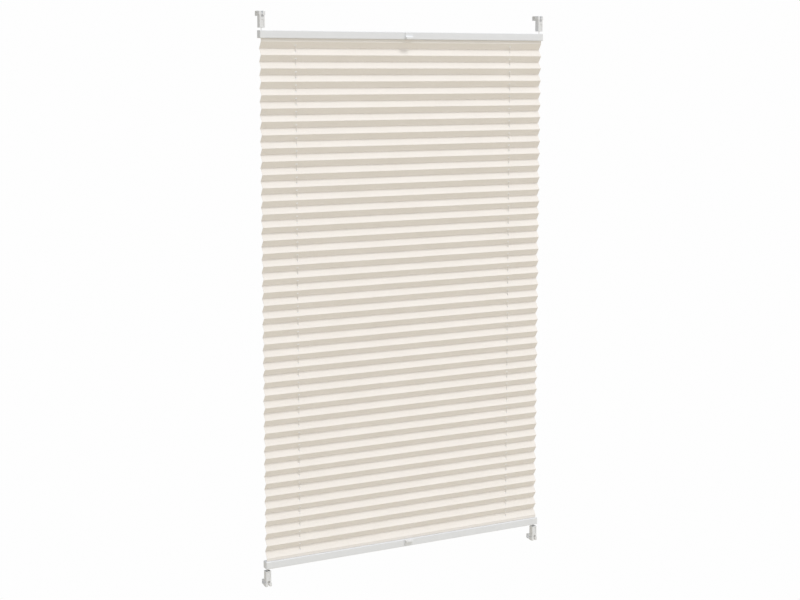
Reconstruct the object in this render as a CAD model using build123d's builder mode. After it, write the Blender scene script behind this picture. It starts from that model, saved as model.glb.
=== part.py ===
from build123d import *
from math import pi
import os

# Pleated blind held between four sash brackets by two taut cords, in millimetres.
# X runs along the rails, -Y is the room side, +Y the window side and +Z is up.
# The pieces are drawn about the cord plane, and place() moves them so that the origin
# is the middle of the whole object's box.

# Overall
blind_width = 750.0  # rail length over its end caps
blind_height = 1250.0  # top of the top rail to the bottom of the bottom rail

# Rails
rail_depth = 18.8
rail_height = 17.5
rail_wall = 1.2
rail_corner = 1.6
rail_slot = 10.4  # slot that the fabric strip looks out of
cap_length = 13.5
cap_edge = 1.0
spigot_length = 12.0
spigot_fit = 0.1  # clearance all round inside the profile
strip_thickness = 1.4
strip_fit = 0.3
strip_end_gap = 0.5

# Pull handle
handle_width = 19.0
handle_reach = 9.0  # how far the lip stands out of the rail
handle_wall = 1.8  # thickness behind the scoop
handle_margin = 0.8  # rail face left bare above and below
handle_lip = 4.8  # height of the lip's face
handle_scoop_radius = 5.0
handle_edge = 0.7
handle_peg_spacing = 10.0
handle_peg_radius = 1.5
peg_fit = 0.05

# Pleated fabric
pleat_pitch = 30.0  # front fold to front fold, rounded to a whole number of pleats
pleat_depth = 10.7
fabric_thickness = 0.4
fabric_inset = 3.0
fabric_gap = 0.3
fabric_hole = 4.0

# Cords
cord_diameter = 1.3
cord_from_end = 6.5  # cord axis from the rail's end
cord_hole_from_end = 90.0
cord_side_step = 2.0  # the two cords pass side by side inside a rail
cord_run_depth = 6.5  # cord run below the rail's outer face
cord_bend = 4.0
cord_jog = 16.0
cord_jog_bend = 50.0
cord_hole = 4.0  # in the end caps
guide_flange_radius = 3.5
guide_flange = 1.2
guide_mouth = 0.3  # rounding of the bore's ends
guide_sleeve_radius = 2.2
guide_fit = 0.05
guide_clearance = 0.7  # bore over cord

# Brackets, heights counted outwards from the shoe's mouth
rail_gap = 6.0
shoe_width = 13.6
shoe_depth = 14.0
shoe_height = 37.5
shoe_corner = 1.6
shoe_wall = 1.8
head_flare = 1.3  # how far the head stands out each side
head_height = 9.0
mouth_depth = 4.0
shoulder = 1.5
shoulder_hole = 4.0
panel_width = 7.0
panel_height = 16.0
panel_depth = 0.6
anchor_height = 6.0
anchor_fit = 0.3
anchor_corner = 0.9
anchor_clearance = 0.2  # bore over cord
spring_length = 10.0
spring_radius = 3.0
spring_wire = 0.6
spring_turns = 5
screw_from_top = 11.5
screw_radius = 1.5
screw_head_radius = 2.8
screw_head = 1.6
screw_recess = 0.4
screw_head_edge = 0.5
screw_slot = 0.8
screw_slot_length = 3.6
screw_slot_depth = 1.0
screw_fit = 0.05
notch_width = 6.0
notch_root = 1.6
notch_height = 7.8
prong_round = 1.8

# Hook over the sash
hook_width = 11.0
hook_sheet = 1.5
sash_gap = 13.0
hook_lip = 11.0
hook_bend = 1.0  # inside radius
hook_outer_bend = 2.35
hook_leg_start = 2.5

# Worked out
half_width = blind_width / 2
half_height = blind_height / 2
profile_length = blind_width - 2 * cap_length
cavity_depth = rail_depth - 2 * rail_wall
cavity_height = rail_height - 2 * rail_wall
rail_inner_z = half_height - rail_height  # fabric side of the top rail
strip_width = cavity_depth - 2 * strip_fit
strip_rib_width = rail_slot - 2 * strip_fit
strip_length = profile_length - 2 * (spigot_length + strip_end_gap)
strip_top_z = rail_inner_z + rail_wall + strip_thickness
cord_x = half_width - cord_from_end
hole_x = half_width - cord_hole_from_end
cord_run_z = half_height - cord_run_depth
mouth_z = half_height + rail_gap
shoe_top_z = mouth_z + shoe_height
chamber_z = mouth_z + mouth_depth + shoulder
guide_bore = cord_diameter + guide_clearance
anchor_bore = cord_diameter + anchor_clearance
head_width = shoe_width + 2 * head_flare
anchor_z = chamber_z + spring_length
chamber_height = spring_length + anchor_height + spring_wire
screw_z = shoe_top_z - screw_from_top
front_reach = rail_depth / 2 + handle_reach
back_reach = shoe_depth / 2 + 2 * hook_sheet + sash_gap
cord_plane_y = (front_reach - back_reach) / 2
pleat_count = round((2 * rail_inner_z - pleat_pitch / 2) / pleat_pitch)
half_pleat = 2 * rail_inner_z / (2 * pleat_count + 1)  # one panel's height


def place(piece, x=0.0, bottom=False, right=False):
    # drawn for the top left: mirrored for the right and the bottom, then moved to its place
    if right:
        piece = mirror(piece, about=Plane.YZ)
    if bottom:
        piece = mirror(piece, about=Plane.XY)
    return Pos(x, cord_plane_y, 0) * piece


def keep(name, piece):
    piece.label = name
    export_step(piece, "parts/" + name + ".step")


def rail_profile():
    # C section, open towards the fabric
    with BuildPart() as profile:
        with BuildSketch(Plane.YZ.offset(-profile_length / 2)):
            with Locations((0, half_height - rail_height / 2)):
                RectangleRounded(rail_depth, rail_height, rail_corner)
                Rectangle(cavity_depth, cavity_height, mode=Mode.SUBTRACT)
            with Locations((0, rail_inner_z + rail_wall / 2)):
                Rectangle(rail_slot, rail_wall, mode=Mode.SUBTRACT)
        extrude(amount=profile_length)
        # holes in the front wall for the handle's pegs
        with BuildSketch(Plane.XZ.offset(rail_depth / 2)):
            with Locations((-handle_peg_spacing / 2, half_height - rail_height / 2)):
                Circle(handle_peg_radius + peg_fit)
            with Locations((handle_peg_spacing / 2, half_height - rail_height / 2)):
                Circle(handle_peg_radius + peg_fit)
        extrude(amount=-rail_wall, mode=Mode.SUBTRACT)
    return profile.part


def end_cap():
    # left cap: full-size block outside the profile and a spigot inside it
    with BuildPart() as cap:
        with BuildSketch(Plane.YZ.offset(-half_width)):
            with Locations((0, half_height - rail_height / 2)):
                RectangleRounded(rail_depth, rail_height, rail_corner)
        extrude(amount=cap_length)
        outer_end = cap.faces().sort_by(Axis.X)[0]
        fillet(outer_end.edges(), cap_edge)
        with BuildSketch(Plane.YZ.offset(cap_length - half_width)):
            with Locations((0, half_height - rail_height / 2)):
                Rectangle(cavity_depth - 2 * spigot_fit, cavity_height - 2 * spigot_fit)
        extrude(amount=spigot_length)
        # the cord enters through the outer side and leaves inwards through a flat passage
        with BuildSketch(Plane.XY.offset(half_height)):
            with Locations((-cord_x, 0)):
                Circle(cord_hole / 2)
        extrude(amount=-cord_run_depth - cord_hole / 2, mode=Mode.SUBTRACT)
        with BuildSketch(Plane.YZ.offset(-cord_x - cord_hole / 2)):
            with Locations((0, cord_run_z)):
                Rectangle(cord_hole + 2 * cord_side_step, cord_hole)
        extrude(amount=cord_from_end + cap_length + spigot_length, mode=Mode.SUBTRACT)
    return cap.part


def fabric_strip():
    # T section: its plate lies on the profile's lips and its rib fills the slot
    with BuildPart() as strip:
        with BuildSketch(Plane.YZ.offset(-strip_length / 2)):
            with Locations((0, strip_top_z - strip_thickness / 2)):
                Rectangle(strip_width, strip_thickness)
            with Locations((0, rail_inner_z + rail_wall / 2)):
                Rectangle(strip_rib_width, rail_wall)
        extrude(amount=strip_length)
        with BuildSketch(Plane.XY.offset(rail_inner_z)):
            with Locations((-hole_x, 0), (hole_x, 0)):
                Circle(guide_sleeve_radius + guide_fit)
        extrude(amount=rail_wall + strip_thickness, mode=Mode.SUBTRACT)
    return strip.part


def cord_guide():
    # flanged bush in the strip, its sleeve flush with the strip's rib
    with BuildPart() as guide:
        with BuildSketch(Plane.XY.offset(strip_top_z)):
            Circle(guide_flange_radius)
        extrude(amount=guide_flange)
        with BuildSketch(Plane.XY.offset(rail_inner_z)):
            Circle(guide_sleeve_radius)
        extrude(amount=rail_wall + strip_thickness)
        with BuildSketch(Plane.XY.offset(rail_inner_z)):
            Circle(guide_bore / 2)
        extrude(amount=rail_wall + strip_thickness + guide_flange, mode=Mode.SUBTRACT)
        rims = guide.edges().filter_by(GeomType.CIRCLE).filter_by(lambda rim: rim.radius == guide_bore / 2)
        fillet(rims, guide_mouth)
    return guide.part


def pull_handle():
    # scooped grip, its lip on the fabric side
    front = -rail_depth / 2
    outer_z = half_height - handle_margin
    lip_z = rail_inner_z + handle_margin
    with BuildPart() as handle:
        with BuildSketch(Plane.YZ.offset(-handle_width / 2)):
            with BuildLine():
                Polyline(
                    (front - handle_reach, lip_z + handle_lip),
                    (front - handle_reach, lip_z),
                    (front, lip_z),
                    (front, outer_z),
                    (front - handle_wall, outer_z),
                )
                FilletPolyline(
                    (front - handle_wall, outer_z),
                    (front - handle_wall, lip_z + handle_lip),
                    (front - handle_reach, lip_z + handle_lip),
                    radius=handle_scoop_radius,
                )
            make_face()
        extrude(amount=handle_width)
        outside = handle.edges().filter_by(lambda edge: edge.center().Y < front - handle_edge)
        scoop = outside.filter_by(Axis.X).filter_by(
            lambda edge: edge.center().Y > front - handle_reach + handle_edge and edge.center().Z < outer_z - handle_edge
        )
        fillet([edge for edge in outside if edge not in scoop], handle_edge)
        with BuildSketch(Plane.XZ.offset(rail_depth / 2)):
            with Locations((-handle_peg_spacing / 2, half_height - rail_height / 2)):
                Circle(handle_peg_radius)
            with Locations((handle_peg_spacing / 2, half_height - rail_height / 2)):
                Circle(handle_peg_radius)
        extrude(amount=-rail_wall)
    return handle.part


def tension_shoe():
    # moulded shell with a mouth towards the rail, its spring chamber open at the back
    with BuildPart() as shoe:
        with BuildSketch(Plane.XY.offset(mouth_z)):
            RectangleRounded(shoe_width, shoe_depth, shoe_corner)
        extrude(amount=shoe_height)
        with BuildSketch(Plane.XY.offset(shoe_top_z - head_height)):
            RectangleRounded(head_width, shoe_depth, shoe_corner)
        extrude(amount=head_height)
        with BuildSketch(Plane.XY.offset(mouth_z)):
            Rectangle(shoe_width - 2 * shoe_wall, shoe_depth - 2 * shoe_wall)
        extrude(amount=mouth_depth, mode=Mode.SUBTRACT)
        with BuildSketch(Plane.XY.offset(mouth_z + mouth_depth)):
            Circle(shoulder_hole / 2)
        extrude(amount=shoulder, mode=Mode.SUBTRACT)
        with BuildSketch(Plane.XY.offset(chamber_z)):
            with Locations((0, shoe_wall / 2)):
                Rectangle(shoe_width - 2 * shoe_wall, shoe_depth - shoe_wall)
        extrude(amount=chamber_height, mode=Mode.SUBTRACT)
        # shallow panel in the front
        with BuildSketch(Plane.XZ.offset(shoe_depth / 2)):
            with Locations((0, mouth_z + shoe_wall + panel_height / 2)):
                RectangleRounded(panel_width, panel_height, shoe_wall)
        extrude(amount=-panel_depth, mode=Mode.SUBTRACT)
        # notch that splits the head into two rounded prongs
        with BuildSketch(Plane.XZ.offset(shoe_depth / 2)):
            with BuildLine():
                Polyline(
                    (-notch_width / 2, shoe_top_z),
                    (-notch_root / 2, shoe_top_z - notch_height),
                    (notch_root / 2, shoe_top_z - notch_height),
                    (notch_width / 2, shoe_top_z),
                    close=True,
                )
            make_face()
        extrude(amount=-shoe_depth, mode=Mode.SUBTRACT)
        tips = shoe.edges().filter_by(Axis.Y).group_by(Axis.Z)[-1]
        fillet(tips, prong_round)
        # clamping screw, its head sunk into the front
        with BuildSketch(Plane.XZ.offset(shoe_depth / 2)):
            with Locations((0, screw_z)):
                Circle(screw_radius + screw_fit)
        extrude(amount=-shoe_depth, mode=Mode.SUBTRACT)
        with BuildSketch(Plane.XZ.offset(shoe_depth / 2)):
            with Locations((0, screw_z)):
                Circle(screw_head_radius + screw_recess)
        extrude(amount=-screw_head - screw_recess, mode=Mode.SUBTRACT)
    return shoe.part


def clamp_screw():
    head_front = shoe_depth / 2 - screw_recess
    with BuildPart() as screw:
        with BuildSketch(Plane.XZ.offset(head_front)):
            with Locations((0, screw_z)):
                Circle(screw_head_radius)
        extrude(amount=-screw_head)
        with BuildSketch(Plane.XZ.offset(head_front)):
            with Locations((0, screw_z)):
                Circle(screw_radius)
        extrude(amount=-(head_front + shoe_depth / 2 + hook_sheet))
        rim = screw.edges().filter_by(GeomType.CIRCLE).sort_by(Axis.Y)[0]
        fillet(rim, screw_head_edge)
        # cross slot
        with BuildSketch(Plane.XZ.offset(head_front)):
            with Locations((0, screw_z)):
                Rectangle(screw_slot_length, screw_slot)
                Rectangle(screw_slot, screw_slot_length)
        extrude(amount=-screw_slot_depth, mode=Mode.SUBTRACT)
    return screw.part


def sash_hook():
    # bent strip: leg behind the shoe, arm over the sash's edge, lip behind the sash
    leg_y = shoe_depth / 2
    lip_y = leg_y + hook_sheet + sash_gap
    inner_z = shoe_top_z - hook_sheet
    with BuildPart() as hook:
        with BuildSketch(Plane.YZ.offset(-hook_width / 2)):
            with BuildLine():
                Polyline(
                    (leg_y, mouth_z + hook_leg_start),
                    (leg_y, shoe_top_z),
                    (lip_y + hook_sheet, shoe_top_z),
                    (lip_y + hook_sheet, shoe_top_z - hook_lip),
                    (lip_y, shoe_top_z - hook_lip),
                    (lip_y, inner_z),
                    (leg_y + hook_sheet, inner_z),
                    (leg_y + hook_sheet, mouth_z + hook_leg_start),
                    close=True,
                )
            make_face()
        extrude(amount=hook_width)
        bends = hook.edges().filter_by(Axis.X)
        inside = bends.filter_by(lambda edge: abs(edge.center().Z - inner_z) < hook_sheet / 2)
        fillet(inside, hook_bend)
        outside = hook.edges().filter_by(Axis.X).group_by(Axis.Z)[-1]
        fillet(outside, hook_outer_bend)
        with BuildSketch(Plane.XZ.offset(-leg_y)):
            with Locations((0, screw_z)):
                Circle(screw_radius + screw_fit)
        extrude(amount=-hook_sheet, mode=Mode.SUBTRACT)
    return hook.part


def cord_anchor():
    # plug that the spring pushes away from the mouth, with the cord's end in it
    anchor_width = shoe_width - 2 * (shoe_wall + anchor_fit)
    anchor_depth = shoe_depth - 2 * (shoe_wall + anchor_fit)
    with BuildPart() as anchor:
        with BuildSketch(Plane.XY.offset(anchor_z)):
            RectangleRounded(anchor_width, anchor_depth, anchor_corner)
        extrude(amount=anchor_height)
        with BuildSketch(Plane.XY.offset(anchor_z)):
            Circle(anchor_bore / 2)
        extrude(amount=anchor_height, mode=Mode.SUBTRACT)
    return anchor.part


def tension_spring():
    wire = spring_wire / 2
    pitch = (spring_length - spring_wire) / spring_turns
    with BuildPart() as spring:
        with BuildLine():
            coil = Helix(pitch, spring_length - spring_wire, spring_radius, center=(0, 0, chamber_z + wire))
        with BuildSketch(Plane(coil @ 0, z_dir=coil % 0)):
            Circle(wire)
        sweep(path=coil, is_frenet=True)
    return spring.part


def pleated_sheet():
    # zigzag between the two strips, its ends at the front edges of their ribs
    shift = fabric_thickness * (pleat_depth**2 + half_pleat**2) ** 0.5 / half_pleat / 2
    end_y = fabric_gap - strip_rib_width / 2
    end_z = rail_inner_z - fabric_gap
    folds = [(end_y, end_z)]
    for number in range(2 * pleat_count + 1):
        side = -1 if number % 2 == 0 else 1
        folds.append((side * pleat_depth / 2, rail_inner_z - half_pleat * (number + 0.5)))
    folds.append((end_y, -end_z))
    outline = [(y - shift, z) for y, z in folds]
    outline += [(y + shift, z) for y, z in reversed(folds)]
    width = blind_width - 2 * fabric_inset
    with BuildPart() as sheet:
        with BuildSketch(Plane.YZ.offset(-width / 2)):
            with BuildLine():
                Polyline(*outline, close=True)
            make_face()
        extrude(amount=width)
        with BuildSketch(Plane.XY.offset(-rail_inner_z)):
            with Locations((-hole_x, 0), (hole_x, 0)):
                Circle(fabric_hole / 2)
        extrude(amount=2 * rail_inner_z, mode=Mode.SUBTRACT)
    return sheet.part


def tension_cord():
    # from the top left anchor through the top rail to the right-hand holes, down through the
    # fabric, and back through the bottom rail to the bottom left anchor
    end_z = anchor_z + anchor_height - spring_wire
    side = cord_side_step
    route = [
        (-cord_x, 0, end_z),
        (-cord_x, 0, cord_run_z),
        (-cord_x + cord_jog, side, cord_run_z),
        (hole_x - cord_jog, side, cord_run_z),
        (hole_x, 0, cord_run_z),
        (hole_x, 0, -cord_run_z),
        (hole_x - cord_jog, side, -cord_run_z),
        (-cord_x + cord_jog, side, -cord_run_z),
        (-cord_x, 0, -cord_run_z),
        (-cord_x, 0, -end_z),
    ]
    half_route = [cord_bend, cord_jog_bend, cord_jog_bend, cord_bend]  # bend radii down to the middle
    with BuildPart() as cord:
        with BuildLine():
            path = FilletPolyline(*route, radius=half_route + half_route[::-1])
        with BuildSketch(Plane(path @ 0, z_dir=path % 0)):
            Circle(cord_diameter / 2)
        sweep(path=path)
    section = pi * cord_diameter**2 / 4
    print("cord length", round(path.length, 1), "volume over section", round(cord.part.volume / section, 1))
    return cord.part


os.makedirs("parts", exist_ok=True)

keep("pleated_fabric", place(pleated_sheet()))
cord = tension_cord()
keep("left_cord", place(cord))
keep("right_cord", place(Rot(0, 0, 180) * cord))

profile, cap, strip, guide, handle = rail_profile(), end_cap(), fabric_strip(), cord_guide(), pull_handle()
for rail, bottom in (("top_rail", False), ("bottom_rail", True)):
    keep(rail + "_profile", place(profile, bottom=bottom))
    keep(rail + "_strip", place(strip, bottom=bottom))
    keep(rail + "_handle", place(handle, bottom=bottom))
    for side, right in (("left", False), ("right", True)):
        keep(rail + "_" + side + "_cap", place(cap, bottom=bottom, right=right))
        keep(rail + "_" + side + "_guide", place(guide, hole_x if right else -hole_x, bottom))

shoe, screw, hook, anchor, spring = tension_shoe(), clamp_screw(), sash_hook(), cord_anchor(), tension_spring()
for level, bottom in (("top", False), ("bottom", True)):
    for side, x in (("left", -cord_x), ("right", cord_x)):
        corner = level + "_" + side
        keep(corner + "_shoe", place(shoe, x, bottom))
        keep(corner + "_screw", place(screw, x, bottom))
        keep(corner + "_hook", place(hook, x, bottom))
        keep(corner + "_anchor", place(anchor, x, bottom))
        coil = Rot(180, 0, 0) * spring if bottom else spring
        keep(corner + "_spring", place(coil, x))

print("pleats", pleat_count, "panel", round((pleat_depth**2 + half_pleat**2) ** 0.5, 2))
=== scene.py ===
from math import acos, atan2, cos, hypot, pi, radians, sin, sqrt, tan

import bmesh
import bpy
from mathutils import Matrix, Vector, noise


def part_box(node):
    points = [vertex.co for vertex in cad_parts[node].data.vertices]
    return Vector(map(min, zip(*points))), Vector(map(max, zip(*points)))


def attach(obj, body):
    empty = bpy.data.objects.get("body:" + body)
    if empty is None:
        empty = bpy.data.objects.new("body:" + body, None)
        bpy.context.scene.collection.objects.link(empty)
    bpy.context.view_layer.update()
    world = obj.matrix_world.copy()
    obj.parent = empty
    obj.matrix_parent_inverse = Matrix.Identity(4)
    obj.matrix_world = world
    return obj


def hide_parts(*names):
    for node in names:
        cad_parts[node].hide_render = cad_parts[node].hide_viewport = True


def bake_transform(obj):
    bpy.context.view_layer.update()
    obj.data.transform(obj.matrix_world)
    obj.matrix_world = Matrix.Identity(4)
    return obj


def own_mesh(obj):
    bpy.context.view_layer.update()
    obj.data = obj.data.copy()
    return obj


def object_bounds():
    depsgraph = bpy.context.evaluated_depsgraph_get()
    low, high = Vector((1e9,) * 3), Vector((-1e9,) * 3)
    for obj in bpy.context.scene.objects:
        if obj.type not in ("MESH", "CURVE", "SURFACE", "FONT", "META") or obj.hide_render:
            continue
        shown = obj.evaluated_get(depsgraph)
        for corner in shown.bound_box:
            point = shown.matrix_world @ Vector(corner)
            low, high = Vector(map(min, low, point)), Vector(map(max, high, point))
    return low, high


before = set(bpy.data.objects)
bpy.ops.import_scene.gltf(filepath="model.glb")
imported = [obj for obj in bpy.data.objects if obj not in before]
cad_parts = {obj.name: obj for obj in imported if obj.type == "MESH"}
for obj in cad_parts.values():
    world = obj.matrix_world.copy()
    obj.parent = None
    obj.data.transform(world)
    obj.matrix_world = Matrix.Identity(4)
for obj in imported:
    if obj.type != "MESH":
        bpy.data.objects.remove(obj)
cadLow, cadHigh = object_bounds()
scene = bpy.context.scene
print("frame loaded with", len(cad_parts), "nodes")


# Camera, to the left of the blind and level with its upper part
viewPoint = {
    "place": (-1.600, -3.063, 0.538),
    "turn": 27.33,  # degrees to the right of straight ahead
    "tilt": 7.26,  # degrees below level
    "lens": 65.2,
    "shiftY": -0.0576,
}


def addCamera():
    data = bpy.data.cameras.new("mainCamera")
    data.lens = viewPoint["lens"]
    data.shift_y = viewPoint["shiftY"]
    data.dof.use_dof = False
    camera = bpy.data.objects.new("mainCamera", data)
    camera.location = viewPoint["place"]
    camera.rotation_euler = (radians(90 - viewPoint["tilt"]), 0, radians(-viewPoint["turn"]))
    scene.collection.objects.link(camera)
    scene.camera = camera


addCamera()


# Small helpers for shader trees
def feed(tree, value, socket):
    if isinstance(value, bpy.types.NodeSocket):
        tree.links.new(value, socket)
    else:
        socket.default_value = value


def calc(tree, operation, *values, clamp=False):
    node = tree.nodes.new("ShaderNodeMath")
    node.operation = operation
    node.use_clamp = clamp
    for socket, value in zip(node.inputs, values):
        feed(tree, value, socket)
    return node.outputs[0]


def calcVector(tree, operation, *values):
    node = tree.nodes.new("ShaderNodeVectorMath")
    node.operation = operation
    for socket, value in zip(node.inputs, values):
        feed(tree, value, socket)
    return node.outputs["Value" if operation == "DOT_PRODUCT" else "Vector"]


def remap(tree, value, fromLow, fromHigh, toLow, toHigh, smooth=False):
    node = tree.nodes.new("ShaderNodeMapRange")
    node.interpolation_type = "SMOOTHSTEP" if smooth else "LINEAR"
    for socket, number in zip(node.inputs, (value, fromLow, fromHigh, toLow, toHigh)):
        feed(tree, number, socket)
    return node.outputs[0]


def mixColour(tree, factor, first, second):
    node = tree.nodes.new("ShaderNodeMix")
    node.data_type = "RGBA"
    feed(tree, factor, node.inputs["Factor"])
    feed(tree, first, [s for s in node.inputs if s.name == "A" and s.type == "RGBA"][0])
    feed(tree, second, [s for s in node.inputs if s.name == "B" and s.type == "RGBA"][0])
    return [s for s in node.outputs if s.type == "RGBA"][0]


def addNoise(tree, vector, scale, detail=2.0):
    node = tree.nodes.new("ShaderNodeTexNoise")
    feed(tree, vector, node.inputs["Vector"])
    feed(tree, scale, node.inputs["Scale"])
    feed(tree, detail, node.inputs["Detail"])
    return node.outputs["Fac"]


def stretched(tree, vector, x, y, z):
    return calcVector(tree, "MULTIPLY", vector, (x, y, z))


def splitVector(tree, vector):
    node = tree.nodes.new("ShaderNodeSeparateXYZ")
    feed(tree, vector, node.inputs[0])
    return node.outputs


def addBump(tree, height, distance, strength=1.0, normal=None):
    node = tree.nodes.new("ShaderNodeBump")
    feed(tree, height, node.inputs["Height"])
    feed(tree, distance, node.inputs["Distance"])
    feed(tree, strength, node.inputs["Strength"])
    if normal is not None:
        feed(tree, normal, node.inputs["Normal"])
    return node.outputs["Normal"]


# Shared effects. Each group is built once and every finish sets its own values.
def startGroup(name, inputs, outputs):
    tree = bpy.data.node_groups.new(name, "ShaderNodeTree")
    for label, value in inputs.items():
        kind = "NodeSocketVector" if value is None else "NodeSocketFloat"
        socket = tree.interface.new_socket(label, in_out="INPUT", socket_type=kind)
        if value is not None:
            socket.default_value = value
    for label in outputs:
        kind = "NodeSocketVector" if label == "Normal" else "NodeSocketFloat"
        tree.interface.new_socket(label, in_out="OUTPUT", socket_type=kind)
    source = tree.nodes.new("NodeGroupInput")
    target = tree.nodes.new("NodeGroupOutput")
    return tree, source.outputs, target.inputs


def placeGroup(tree, group, **values):
    node = tree.nodes.new("ShaderNodeGroup")
    node.node_tree = group
    for label, value in values.items():
        feed(tree, value, node.inputs[label])
    return node.outputs


def makeSoftEdge():
    # a rounded normal near corners, and a mask that is 1 on the corner itself
    tree, given, result = startGroup("softEdge", {"Radius": 0.0003, "Gain": 6.0}, ["Normal", "Edge"])
    bevel = tree.nodes.new("ShaderNodeBevel")
    bevel.samples = 4
    feed(tree, given["Radius"], bevel.inputs["Radius"])
    geometry = tree.nodes.new("ShaderNodeNewGeometry")
    same = calcVector(tree, "DOT_PRODUCT", bevel.outputs[0], geometry.outputs["Normal"])
    edge = calc(tree, "MULTIPLY", calc(tree, "SUBTRACT", 1.0, same), given["Gain"], clamp=True)
    feed(tree, bevel.outputs[0], result["Normal"])
    feed(tree, edge, result["Edge"])
    return tree


def makeFineGrain():
    # pebbled skin of a coating or a moulding, and a slow drift in tone
    inputs = {"Vector": None, "Size": 0.001, "Drift": 0.04}
    tree, given, result = startGroup("fineGrain", inputs, ["Height", "Tone"])
    frequency = calc(tree, "DIVIDE", 1.0, given["Size"])
    slow = calc(tree, "MULTIPLY", frequency, given["Drift"])
    feed(tree, addNoise(tree, given["Vector"], frequency, 3.0), result["Height"])
    feed(tree, addNoise(tree, given["Vector"], slow, 2.0), result["Tone"])
    return tree


def makeSettledDust():
    # thin dust on what faces up, in uneven patches
    inputs = {"Vector": None, "Amount": 0.3, "Patches": 45.0}
    tree, given, result = startGroup("settledDust", inputs, ["Mask"])
    geometry = tree.nodes.new("ShaderNodeNewGeometry")
    rise = splitVector(tree, geometry.outputs["Normal"])[2]
    upward = remap(tree, rise, 0.5, 1.0, 0.0, 1.0, smooth=True)
    patches = remap(tree, addNoise(tree, given["Vector"], given["Patches"], 4.0), 0.35, 0.75, 0.2, 1.0)
    layer = calc(tree, "MULTIPLY", upward, patches)
    feed(tree, calc(tree, "MULTIPLY", layer, given["Amount"]), result["Mask"])
    return tree


def makeCrepeWeave():
    # plain weave of high-twist threads: Vector is the cloth's own map in metres
    inputs = {"Vector": None, "Thread": 0.00042, "Crimp": 0.45, "Wander": 2.4}
    tree, given, result = startGroup("crepeWeave", inputs, ["Height", "Slub", "Gap"])
    wander = calc(tree, "SUBTRACT", addNoise(tree, given["Vector"], 900.0, 2.0), 0.5)
    push = calc(tree, "MULTIPLY", wander, calc(tree, "MULTIPLY", given["Thread"], given["Wander"]))
    along = splitVector(tree, given["Vector"])
    waves = []
    for axis, share in ((0, 1.0), (1, -1.0)):
        moved = calc(tree, "ADD", along[axis], calc(tree, "MULTIPLY", push, share))
        waves.append(calc(tree, "MULTIPLY", calc(tree, "DIVIDE", moved, given["Thread"]), pi))
    warp = calc(tree, "ABSOLUTE", calc(tree, "SINE", waves[0]))
    weft = calc(tree, "ABSOLUTE", calc(tree, "SINE", waves[1]))
    over = calc(tree, "MULTIPLY", calc(tree, "COSINE", waves[0]), calc(tree, "COSINE", waves[1]))
    crossing = calc(tree, "MULTIPLY", over, given["Crimp"])
    height = calc(tree, "ADD", calc(tree, "MULTIPLY", warp, weft), crossing)
    # thick and thin places along single threads, both ways
    weftSlub = addNoise(tree, stretched(tree, given["Vector"], 60.0, 1900.0, 1.0), 1.0, 2.0)
    warpSlub = addNoise(tree, stretched(tree, given["Vector"], 1900.0, 45.0, 1.0), 1.0, 2.0)
    feed(tree, height, result["Height"])
    feed(tree, calc(tree, "MULTIPLY", calc(tree, "ADD", weftSlub, warpSlub), 0.5), result["Slub"])
    feed(tree, remap(tree, calc(tree, "MULTIPLY", warp, weft), 0.0, 0.35, 1.0, 0.0), result["Gap"])
    return tree


def makeCordBraid():
    # two sets of strands wound opposite ways: Angle round the cord, Length along it
    inputs = {"Angle": 0.0, "Length": 0.0, "Pitch": 0.0022, "Strands": 4.0}
    tree, given, result = startGroup("cordBraid", inputs, ["Height", "Strand"])
    turn = calc(tree, "MULTIPLY", given["Angle"], given["Strands"])
    climb = calc(tree, "MULTIPLY", calc(tree, "DIVIDE", given["Length"], given["Pitch"]), 2 * pi)
    left = calc(tree, "SINE", calc(tree, "ADD", turn, climb))
    right = calc(tree, "SINE", calc(tree, "SUBTRACT", turn, climb))
    top = calc(tree, "MAXIMUM", left, right)
    feed(tree, top, result["Height"])
    feed(tree, remap(tree, top, -0.2, 0.9, 0.0, 1.0), result["Strand"])
    return tree


softEdge = makeSoftEdge()
fineGrain = makeFineGrain()
settledDust = makeSettledDust()
crepeWeave = makeCrepeWeave()
cordBraid = makeCordBraid()
print("shared effects ready")


def startMaterial(name):
    material = bpy.data.materials.new(name)
    material.use_nodes = True
    tree = material.node_tree
    shader = tree.nodes["Principled BSDF"]
    place = tree.nodes.new("ShaderNodeTexCoord").outputs["Object"]
    return material, tree, shader.inputs, place


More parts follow.
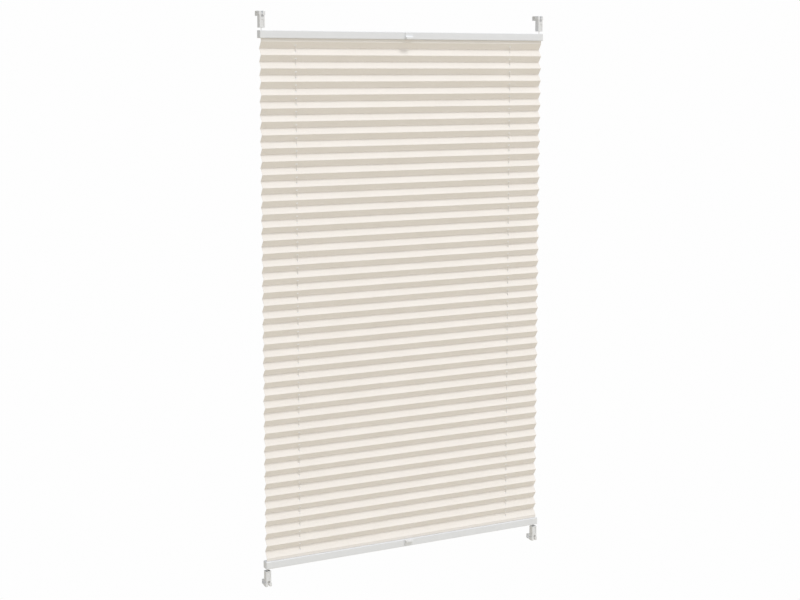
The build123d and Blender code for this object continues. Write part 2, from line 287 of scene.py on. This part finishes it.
# Hard finishes: colour, edge colour (wear, and a painted highlight where it is lighter than the colour),
# dust, grain in metres, and how rough
hardFinishes = {
    "powderCoat": {
        "colour": (0.785, 0.795, 0.81, 1),
        "edgeColour": (0.86, 0.86, 0.865, 1),
        "grain": 0.0009,
        "grainDepth": 0.000012,
        "roughness": (0.34, 0.46),
        "edgeRadius": 0.0004,
        "dust": 0.10,
        "dieLines": 0.000006,
    },
    "capPlastic": {
        "colour": (0.79, 0.80, 0.81, 1),
        "edgeColour": (0.85, 0.86, 0.86, 1),
        "grain": 0.0004,
        "grainDepth": 0.00001,
        "roughness": (0.42, 0.55),
        "edgeRadius": 0.0003,
        "dust": 0.10,
    },
    "handlePlastic": {
        "colour": (0.80, 0.81, 0.82, 1),
        "edgeColour": (0.86, 0.87, 0.88, 1),
        "grain": 0.0003,
        "grainDepth": 0.000006,
        "roughness": (0.28, 0.40),
        "edgeRadius": 0.0003,
        "dust": 0.05,
    },
    "innerPlastic": {
        "colour": (0.72, 0.72, 0.70, 1),
        "edgeColour": (0.78, 0.78, 0.76, 1),
        "grain": 0.0004,
        "grainDepth": 0.00001,
        "roughness": (0.40, 0.55),
        "edgeRadius": 0.0002,
        "dust": 0.0,
    },
    "shoePlastic": {
        "colour": (0.78, 0.785, 0.79, 1),
        "edgeColour": (0.85, 0.85, 0.86, 1),
        "grain": 0.0004,
        "grainDepth": 0.000012,
        "roughness": (0.40, 0.54),
        "edgeRadius": 0.00035,
        "dust": 0.12,
    },
    "hookLacquer": {
        "colour": (0.79, 0.795, 0.80, 1),
        "edgeColour": (0.70, 0.70, 0.70, 1),
        "grain": 0.0007,
        "grainDepth": 0.00001,
        "roughness": (0.28, 0.40),
        "edgeRadius": 0.0002,
        "dust": 0.08,
    },
    "zincSteel": {
        "colour": (0.68, 0.68, 0.69, 1),
        "edgeColour": (0.80, 0.80, 0.81, 1),
        "grain": 0.0005,
        "grainDepth": 0.000015,
        "roughness": (0.25, 0.48),
        "edgeRadius": 0.00015,
        "dust": 0.0,
        "metallic": 1.0,
    },
}


# What every hard finish shares
hardShared = {
    "darkerTone": 0.955,  # low end of the slow drift in tone
    "edgeShare": 0.6,
    "dustColour": (0.60, 0.58, 0.55, 1),
    "dustRoughness": 0.4,
    "bump": 0.6,
}


def makeHardFinish(name, look):
    material, tree, shader, place = startMaterial(name)
    grain = placeGroup(tree, fineGrain, Vector=place, Size=look["grain"])
    edges = placeGroup(tree, softEdge, Radius=look["edgeRadius"])
    dust = placeGroup(tree, settledDust, Vector=place, Amount=look["dust"])
    darker = [part * hardShared["darkerTone"] for part in look["colour"][:3]] + [1]
    # painted highlight and wear: corners take the edge colour, lighter than the body on most finishes as
    # if rounded edges caught the light, darker on the hook where the lacquer chips
    edgeWearAndHighlight = calc(tree, "MULTIPLY", edges["Edge"], hardShared["edgeShare"])
    colour = mixColour(tree, grain["Tone"], darker, look["colour"])
    colour = mixColour(tree, edgeWearAndHighlight, colour, look["edgeColour"])
    colour = mixColour(tree, dust["Mask"], colour, hardShared["dustColour"])
    rough = remap(tree, grain["Tone"], 0.3, 0.7, *look["roughness"])
    height = calc(tree, "MULTIPLY", grain["Height"], look["grainDepth"])
    if "dieLines" in look:
        # faint lines that the extrusion die leaves along the rail
        lines = addNoise(tree, stretched(tree, place, 2.0, 2600.0, 2600.0), 1.0, 3.0)
        height = calc(tree, "ADD", height, calc(tree, "MULTIPLY", lines, look["dieLines"]))
    feed(tree, colour, shader["Base Color"])
    dulled = calc(tree, "MULTIPLY", dust["Mask"], hardShared["dustRoughness"])
    feed(tree, calc(tree, "ADD", rough, dulled), shader["Roughness"])
    feed(tree, addBump(tree, height, 1.0, hardShared["bump"], edges["Normal"]), shader["Normal"])
    shader["Metallic"].default_value = look.get("metallic", 0.0)
    return material


finishes = {name: makeHardFinish(name, look) for name, look in hardFinishes.items()}


# Cloth: cream polyester crepe
clothLook = {
    "colour": (0.862, 0.822, 0.775, 1),
    "slubColour": (0.80, 0.75, 0.68, 1),
    "gapShadeColour": (0.70, 0.63, 0.54, 1),
    "thread": 0.00042,
    "threadHeight": 0.00005,
    "slubShare": 0.55,
    "gapShadeShare": 0.22,
    "driftLift": 1.02,  # how much paler the cloth drifts
    "roughness": (0.92, 0.76),  # between threads and on top of them
    "sheen": 0.12,
    "sheenRoughness": 0.5,
}


def makeClothFinish():
    material, tree, shader, _ = startMaterial("creamCrepe")
    cutMap = tree.nodes.new("ShaderNodeUVMap")
    cutMap.uv_map = "clothMap"
    onCloth = cutMap.outputs[0]
    weave = placeGroup(tree, crepeWeave, Vector=onCloth, Thread=clothLook["thread"])
    slub = remap(tree, weave["Slub"], 0.42, 0.72, 0.0, clothLook["slubShare"])
    gapShade = calc(tree, "MULTIPLY", weave["Gap"], clothLook["gapShadeShare"])
    colour = mixColour(tree, slub, clothLook["colour"], clothLook["slubColour"])
    # painted shade: the gaps between threads are darkened and warmed as if in shadow
    colour = mixColour(tree, gapShade, colour, clothLook["gapShadeColour"])
    # cloth from one dye lot still drifts a little over a hand's width
    drift = addNoise(tree, stretched(tree, onCloth, 9.0, 22.0, 1.0), 1.0, 2.0)
    paler = [min(1.0, part * clothLook["driftLift"]) for part in clothLook["colour"][:3]] + [1]
    colour = mixColour(tree, remap(tree, drift, 0.4, 0.7, 0.0, 0.5), colour, paler)
    rough = remap(tree, weave["Height"], 0.0, 1.2, *clothLook["roughness"])
    feed(tree, colour, shader["Base Color"])
    feed(tree, rough, shader["Roughness"])
    feed(tree, addBump(tree, weave["Height"], clothLook["threadHeight"], 0.7), shader["Normal"])
    shader["Sheen Weight"].default_value = clothLook["sheen"]
    shader["Sheen Roughness"].default_value = clothLook["sheenRoughness"]
    return material


finishes["creamCrepe"] = makeClothFinish()


# Cord: white polyester braid
braidLook = {
    "colour": (0.86, 0.83, 0.79, 1),
    "shade": (0.58, 0.555, 0.51, 1),
    "pitch": 0.0022,
    "strands": 4,
    "height": 0.00006,
    "fibre": 0.0002,
    "roughness": (0.62, 0.78),
}


def makeBraidFinish(name, upright):
    material, tree, shader, place = startMaterial(name)
    geometry = tree.nodes.new("ShaderNodeNewGeometry")
    normal = splitVector(tree, geometry.outputs["Normal"])
    point = splitVector(tree, place)
    across, length = (0, 2) if upright else (2, 0)
    angle = calc(tree, "ARCTAN2", normal[1], normal[across])
    pitch = {"Pitch": braidLook["pitch"], "Strands": braidLook["strands"]}
    braid = placeGroup(tree, cordBraid, Angle=angle, Length=point[length], **pitch)
    fibres = placeGroup(tree, fineGrain, Vector=place, Size=braidLook["fibre"])
    # painted shade: the shade colour fills the grooves between the strands
    colour = mixColour(tree, braid["Strand"], braidLook["shade"], braidLook["colour"])
    rough = remap(tree, fibres["Height"], 0.3, 0.7, *braidLook["roughness"])
    feed(tree, colour, shader["Base Color"])
    feed(tree, rough, shader["Roughness"])
    feed(tree, addBump(tree, braid["Height"], braidLook["height"], 0.8), shader["Normal"])
    return material


finishes["uprightBraid"] = makeBraidFinish("uprightBraid", True)
finishes["railBraid"] = makeBraidFinish("railBraid", False)
print("finishes ready:", len(finishes))


# Every hard CAD node keeps its shape and gets its finish
finishOfNode = {
    "_profile": "powderCoat",
    "_cap": "capPlastic",
    "_handle": "handlePlastic",
    "_strip": "innerPlastic",
    "_guide": "innerPlastic",
    "_anchor": "innerPlastic",
    "_shoe": "shoePlastic",
    "_hook": "hookLacquer",
    "_screw": "zincSteel",
}
for nodeName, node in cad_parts.items():
    for ending, finish in finishOfNode.items():
        if nodeName.endswith(ending):
            for slot in node.material_slots:
                slot.material = finishes[finish]

# Places read from the frame
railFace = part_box("top_rail_profile")[0].z  # fabric side of the top rail
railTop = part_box("top_rail_profile")[1].z
clothLow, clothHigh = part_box("pleated_fabric")
cordPlane = (clothLow.y + clothHigh.y) / 2
guideLow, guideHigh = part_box("top_rail_right_guide")
holeX = (guideLow.x + guideHigh.x) / 2
shoeLow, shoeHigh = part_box("top_right_shoe")
shoeX = (shoeLow.x + shoeHigh.x) / 2


def addObject(name, mesh, finish):
    mesh.materials.append(finishes[finish])
    thing = bpy.data.objects.new(name, mesh)
    scene.collection.objects.link(thing)
    return thing


# Pleated cloth, one half for each rail, meeting at the middle front fold
clothSet = {
    "pleats": 40,
    "pleatDepth": 0.0107,
    "thickness": 0.00025,
    "foldRadius": 0.0006,
    "foldSteps": 4,  # even, so that a row lies on the fold itself
    "creaseReach": 0.0006,  # flat row kept beside each fold
    "swing": 0.00022,  # how far a panel swings off its straight line
    "columnStep": 0.02,
    "edgeReach": 0.0004,  # row or column kept beside a cut edge
    "endForward": 0.0046,  # how far in front of the cords the ends are held
    "holeRadius": 0.002,
    "holeRim": 0.0003,
    "patchX": 0.005,
    "patchS": 0.004,
    "uneven": 0.00016,
    "edgeUneven": 0.0003,
    "edgeBand": 0.1,  # outer share of the half width that wanders sideways
}
halfPleat = 2 * railFace / (2 * clothSet["pleats"] + 1)
foldDepth = clothSet["pleatDepth"] / 2
lean = atan2(2 * foldDepth, halfPleat)  # a panel's angle from the vertical
panelLength = hypot(2 * foldDepth, halfPleat)
straight = panelLength - 2 * clothSet["foldRadius"] * tan(lean)


def panelPoint(number, s):
    # y and z on the panel above fold number, s metres from the end of the fold's arc
    side = -1 if number % 2 == 0 else 1
    along = clothSet["foldRadius"] * tan(lean) + s
    off = clothSet["swing"] * sin(2 * pi * s / straight)
    y = side * (foldDepth - along * sin(lean) - off * cos(lean))
    z = number * halfPleat + along * cos(lean) - off * sin(lean)
    return y, z


def foldPoint(number, angle):
    side = -1 if number % 2 == 0 else 1
    radius = clothSet["foldRadius"]
    y = side * (foldDepth - radius / cos(lean) + radius * cos(angle))
    return y, number * halfPleat + radius * sin(angle)


def clothRows():
    # rows from the middle fold up to the rail as (y, z, running length), and where the holes go
    rows = []
    patches = []
    length = 0.0
    steps = clothSet["foldSteps"]
    radius = clothSet["foldRadius"]
    reachS = clothSet["patchS"]
    folds = clothSet["pleats"]
    for number in range(folds):
        first = steps // 2 if number == 0 else 0
        for step in range(first, steps + 1):
            angle = lean * (2 * step / steps - 1)
            rows.append((*foldPoint(number, angle), length + radius * (angle + lean)))
        length += 2 * radius * lean
        middle = straight / 2
        stops = [middle - reachS, middle - reachS / 2, middle, middle + reachS / 2, middle + reachS]
        patches.append((number, len(rows) + 1, middle))
        for s in (clothSet["creaseReach"], *stops, straight - clothSet["creaseReach"]):
            rows.append((*panelPoint(number, s), length + s))
        length += straight
    # the last fold turns less, and its short panel runs straight into the rail
    centre = foldDepth - radius / cos(lean)
    ahead = clothSet["endForward"] - centre
    rise = clothHigh.z - folds * halfPleat
    endLean = atan2(rise, ahead) - acos(radius / hypot(rise, ahead))
    end = sqrt(rise ** 2 + ahead ** 2 - radius ** 2)
    for step in range(steps + 1):
        angle = (lean + endLean) * step / steps - lean
        rows.append((*foldPoint(folds, angle), length + radius * (angle + lean)))
    startY, startZ, length = rows[-1]
    for s in (clothSet["creaseReach"], end / 2, end - clothSet["edgeReach"], end):
        rows.append((startY + s * sin(endLean), startZ + s * cos(endLean), length + s))
    return rows, patches


def clothColumns():
    wide = clothHigh.x
    count = round(2 * wide / clothSet["columnStep"])
    reach = clothSet["patchX"]
    columns = [-wide + 2 * wide * number / count for number in range(count + 1)]
    columns = [x for x in columns if abs(abs(x) - holeX) > reach * 1.6]
    columns += [-wide + clothSet["edgeReach"], wide - clothSet["edgeReach"]]
    for centre in (-holeX, holeX):
        columns += [centre + reach * part for part in (-1, -0.5, 0, 0.5, 1)]
    columns.sort()
    return columns, [columns.index(centre - reach) for centre in (-holeX, holeX)]


def uneven(x, y, z):
    # small wander of folds and cut edges, none in height at the rails and at the middle
    calm = min(1.0, abs(z) / halfPleat, (railFace - abs(z)) / halfPleat)
    size = clothSet["uneven"]
    y += size * noise.noise(Vector((x * 7, z * 38, 1.7)))
    band = clothSet["edgeBand"]
    edge = max(0.0, (abs(x) / clothHigh.x - 1 + band) / band) * clothSet["edgeUneven"]
    x += edge * (noise.noise(Vector((4.3, z * 60, x))) - 0.3) * (1 if x > 0 else -1)
    z += size * calm * noise.noise(Vector((x * 6, z * 30, 9.1)))
    return Vector((x, y + cordPlane, z))


def makeCloth(name, up):
    # up is 1 above the middle fold and -1 below it
    rows, patches = clothRows()
    columns, patchColumns = clothColumns()
    mesh = bpy.data.meshes.new(name)
    build = bmesh.new()
    clothMap = build.loops.layers.uv.new("clothMap")
    flat = {}

    def vertex(x, y, z, length):
        made = build.verts.new(uneven(x, y, z * up))
        flat[made] = (x, length * up)
        return made

    def face(*corners):
        made = build.faces.new(corners if up > 0 else corners[::-1])
        made.smooth = True
        for loop in made.loops:
            loop[clothMap].uv = flat[loop.vert]

    inside = set()
    holed = set()
    for _, r, _ in patches:
        for c in patchColumns:
            inside |= {(row, column) for row in range(r + 1, r + 4) for column in range(c + 1, c + 4)}
            holed |= {(row, column) for row in range(r, r + 4) for column in range(c, c + 4)}
    grid = {}
    for r, (y, z, length) in enumerate(rows):
        for c, x in enumerate(columns):
            if (r, c) not in inside:
                grid[r, c] = vertex(x, y, z, length)
    for r in range(len(rows) - 1):
        for c in range(len(columns) - 1):
            if (r, c) not in holed:
                face(grid[r, c], grid[r, c + 1], grid[r + 1, c + 1], grid[r + 1, c])
    # rings of faces round the cord's holes
    for number, r, middle in patches:
        for c in patchColumns:
            left = [(r + step, c) for step in range(4, 0, -1)]
            bottom = [(r, c + step) for step in range(4)]
            right = [(r + step, c + 4) for step in range(4)]
            top = [(r + 4, c + step) for step in range(4, 0, -1)]
            around = left + bottom + right + top
            centreX = columns[c + 2]
            rings = [[grid[key] for key in around]]
            for radius in (clothSet["holeRadius"] + clothSet["holeRim"], clothSet["holeRadius"]):
                ring = []
                for row, column in around:
                    offX = columns[column] - centreX
                    offS = (row - r - 2) * clothSet["patchS"] / 2
                    share = radius / hypot(offX, offS)
                    y, z = panelPoint(number, middle + offS * share)
                    ring.append(vertex(centreX + offX * share, y, z, rows[r + 2][2] + offS * share))
                rings.append(ring)
            for outer, inner in zip(rings, rings[1:]):
                for step in range(len(around)):
                    after = (step + 1) % len(around)
                    face(outer[step], outer[after], inner[after], inner[step])
    build.to_mesh(mesh)
    build.free()
    cloth = addObject(name, mesh, "creamCrepe")
    body = cloth.modifiers.new("thickness", "SOLIDIFY")
    body.thickness = clothSet["thickness"]
    body.offset = 0
    return cloth, rows[-1][2]


for clothName, up, rail in (("fabricUpper", 1, "top_rail"), ("fabricLower", -1, "bottom_rail")):
    cloth, clothLength = makeCloth(clothName, up)
    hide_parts("pleated_fabric")
    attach(cloth, "root_brackets")
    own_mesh(cloth)
print("cloth made, each half", round(clothLength, 3), "m long when flat")


# Tension cords. Points repeat the CAD route, with one more beside each long run's ends.
cordSet = {
    "radius": 0.00065,
    "sides": 12,
    "runDepth": 0.0065,  # below the rail's outer face
    "sideStep": 0.002,
    "jog": 0.016,
    "overlap": 0.003,  # how far a cord piece reaches into the rail
    "ringStep": 0.015,
}


def makeTube(name, x, low, high, finish):
    # upright cord between two heights
    mesh = bpy.data.meshes.new(name)
    build = bmesh.new()
    sides = cordSet["sides"]
    count = max(4, round((high - low) / cordSet["ringStep"]))
    rings = []
    angles = [2 * pi * number / sides for number in range(sides)]
    outline = [(cordSet["radius"] * cos(a), cordSet["radius"] * sin(a)) for a in angles]
    for level in range(count + 1):
        z = low + (high - low) * level / count
        rings.append([build.verts.new((x + offX, cordPlane + offY, z)) for offX, offY in outline])
    for lower, upper in zip(rings, rings[1:]):
        for number in range(sides):
            after = (number + 1) % sides
            build.faces.new((lower[number], lower[after], upper[after], upper[number])).smooth = True
    build.faces.new(rings[0][::-1])
    build.faces.new(rings[-1])
    build.to_mesh(mesh)
    build.free()
    return addObject(name, mesh, finish)


def makeSplineTube(name, points, radius, finish, order=3):
    curve = bpy.data.curves.new(name + "Line", "CURVE")
    curve.dimensions = "3D"
    curve.bevel_depth = radius
    curve.bevel_resolution = 3
    curve.resolution_u = 8
    curve.use_fill_caps = True
    spline = curve.splines.new("NURBS")
    spline.points.add(len(points) - 1)
    for target, point in zip(spline.points, points):
        target.co = (*point, 1)
    spline.order_u = order
    spline.use_endpoint_u = True
    line = bpy.data.objects.new(name + "Line", curve)
    scene.collection.objects.link(line)
    bpy.context.view_layer.update()
    shaped = line.evaluated_get(bpy.context.evaluated_depsgraph_get())
    mesh = bpy.data.meshes.new_from_object(shaped)
    bpy.data.objects.remove(line)
    bpy.data.curves.remove(curve)
    mesh.name = name
    mesh.materials.clear()
    for polygon in mesh.polygons:
        polygon.use_smooth = True
    return addObject(name, mesh, finish)


def makeCord(cordName, side):
    # side is 1 for the cord from the left brackets and -1 for the one from the right
    startX = -shoeX * side
    endX = holeX * side
    stepY = cordPlane + cordSet["sideStep"] * side
    jog = cordSet["jog"] * side
    node = "left_cord" if side > 0 else "right_cord"
    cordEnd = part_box(node)[1].z
    for level, up in (("Top", 1), ("Bottom", -1)):
        rail = level.lower() + "_rail"
        runZ = (railTop - cordSet["runDepth"]) * up
        entry = (railTop - cordSet["overlap"]) * up
        low, high = sorted((entry, cordEnd * up))
        stub = makeTube(cordName + level + "Stub", startX, low, high, "uprightBraid")
        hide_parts(node)
        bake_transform(stub)
        points = [
            (startX, cordPlane, entry),
            (startX, cordPlane, runZ),
            (startX + jog, stepY, runZ),
            (startX + 2 * jog, stepY, runZ),
            (endX - 2 * jog, stepY, runZ),
            (endX - jog, stepY, runZ),
            (endX, cordPlane, runZ),
            (endX, cordPlane, railFace * up),
        ]
        run = makeSplineTube(cordName + level + "Run", points, cordSet["radius"], "railBraid")
        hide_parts(node)
        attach(run, rail)
        low, high = sorted((0.0, railFace * up))
        fall = makeTube(cordName + level + "Fall", endX, low, high, "uprightBraid")
        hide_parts(node)
        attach(fall, "root_brackets")
        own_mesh(fall)


makeCord("leftCord", 1)
makeCord("rightCord", -1)
print("cords made")


# Compression springs under the cord anchors
springSet = {
    "wire": 0.0003,
    "radius": 0.003,
    "turns": 5,
    "pointsPerTurn": 12,
}


def makeSpring(corner):
    low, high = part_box(corner + "_spring")
    middle = (low + high) / 2
    wire = springSet["wire"]
    count = springSet["turns"] * springSet["pointsPerTurn"]
    bottom, top = low.z + wire, high.z - wire
    points = []
    for number in range(count + 1):
        angle = 2 * pi * number / springSet["pointsPerTurn"]
        share = number / count
        x = middle.x + springSet["radius"] * cos(angle)
        y = cordPlane + springSet["radius"] * sin(angle)
        points.append((x, y, bottom + (top - bottom) * share))
    words = corner.split("_")
    name = words[0] + words[1].capitalize() + "Spring"
    spring = makeSplineTube(name, points, wire, "zincSteel", order=4)
    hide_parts(corner + "_spring")
    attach(spring, "root_brackets")
    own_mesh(spring)


for corner in ("top_left", "top_right", "bottom_left", "bottom_right"):
    makeSpring(corner)
print("springs made")


# Studio: pale floor below, one soft light from above and in front, and an even sky
studio = {
    "floorDrop": 0.9,  # below the lowest bracket
    "floorSize": 60.0,
    "floorRoughness": 0.9,
    "floorColour": (0.725, 0.68, 0.575, 1),
    "white": 0.99,  # floor and backdrop as the camera sees them
    "skyColour": (0.985, 1.0, 1.035, 1),
    "skyTop": 0.76,  # light from overhead, from level and from straight below
    "skyLevel": 0.69,
    "skyBottom": 0.3,
    "skyFront": 0.10,  # more light from in front of the blind
    "skyRight": 0.2,  # and from the right
    "keyPlace": (3.8, -8.15, 15.6),
    "keySize": 5.5,
    "keyPower": 1290,
}


def addFloor():
    build = bmesh.new()
    half = studio["floorSize"] / 2
    z = cadLow.z - studio["floorDrop"]
    corners = [build.verts.new((x * half, y * half, z)) for x, y in ((-1, -1), (1, -1), (1, 1), (-1, 1))]
    build.faces.new(corners)
    mesh = bpy.data.meshes.new("studioFloor")
    build.to_mesh(mesh)
    build.free()
    material = bpy.data.materials.new("paleFloor")
    material.use_nodes = True
    tree = material.node_tree
    shader = tree.nodes["Principled BSDF"].inputs
    shader["Roughness"].default_value = studio["floorRoughness"]
    shader["Specular IOR Level"].default_value = 0.0
    # the camera sees the same even white as the backdrop
    seen = tree.nodes.new("ShaderNodeLightPath").outputs["Is Camera Ray"]
    feed(tree, mixColour(tree, seen, studio["floorColour"], (0, 0, 0, 1)), shader["Base Color"])
    shader["Emission Color"].default_value = (1, 1, 1, 1)
    feed(tree, calc(tree, "MULTIPLY", seen, studio["white"]), shader["Emission Strength"])
    # the floor is see-through from below
    geometry = tree.nodes.new("ShaderNodeNewGeometry")
    feed(tree, calc(tree, "SUBTRACT", 1.0, geometry.outputs["Backfacing"]), shader["Alpha"])
    mesh.materials.append(material)
    floor = bpy.data.objects.new("studioFloor", mesh)
    scene.collection.objects.link(floor)


def addSky():
    world = bpy.data.worlds.new("studioSky")
    scene.world = world
    world.use_nodes = True
    tree = world.node_tree
    tree.nodes.clear()
    direction = tree.nodes.new("ShaderNodeTexCoord").outputs["Generated"]
    right, back, height = splitVector(tree, direction)[:3]
    above = remap(tree, height, 0.0, 1.0, studio["skyLevel"], studio["skyTop"])
    below = remap(tree, height, -1.0, 0.0, studio["skyBottom"], studio["skyLevel"])
    isAbove = calc(tree, "GREATER_THAN", height, 0.0)
    isBelow = calc(tree, "SUBTRACT", 1.0, isAbove)
    upper = calc(tree, "MULTIPLY", isAbove, above)
    lower = calc(tree, "MULTIPLY", isBelow, below)
    strength = calc(tree, "ADD", upper, lower)
    strength = calc(tree, "ADD", strength, calc(tree, "MULTIPLY", right, studio["skyRight"]))
    strength = calc(tree, "SUBTRACT", strength, calc(tree, "MULTIPLY", back, studio["skyFront"]))
    light = tree.nodes.new("ShaderNodeBackground")
    feed(tree, strength, light.inputs["Strength"])
    white = tree.nodes.new("ShaderNodeBackground")
    white.inputs["Strength"].default_value = studio["white"]
    path = tree.nodes.new("ShaderNodeLightPath")
    mix = tree.nodes.new("ShaderNodeMixShader")
    feed(tree, path.outputs["Is Camera Ray"], mix.inputs[0])
    feed(tree, light.outputs[0], mix.inputs[1])
    feed(tree, white.outputs[0], mix.inputs[2])
    light.inputs["Color"].default_value = studio["skyColour"]
    white.inputs["Color"].default_value = (1, 1, 1, 1)
    output = tree.nodes.new("ShaderNodeOutputWorld")
    feed(tree, mix.outputs[0], output.inputs["Surface"])


def addKeyLight():
    data = bpy.data.lights.new("keyPanel", "AREA")
    data.shape = "DISK"
    data.size = studio["keySize"]
    data.energy = studio["keyPower"]
    lamp = bpy.data.objects.new("keyPanel", data)
    lamp.location = studio["keyPlace"]
    lamp.rotation_euler = (-Vector(studio["keyPlace"])).to_track_quat("-Z", "Y").to_euler()
    scene.collection.objects.link(lamp)


addFloor()
addSky()
addKeyLight()
scene.view_settings.view_transform = "Standard"
print("studio ready")
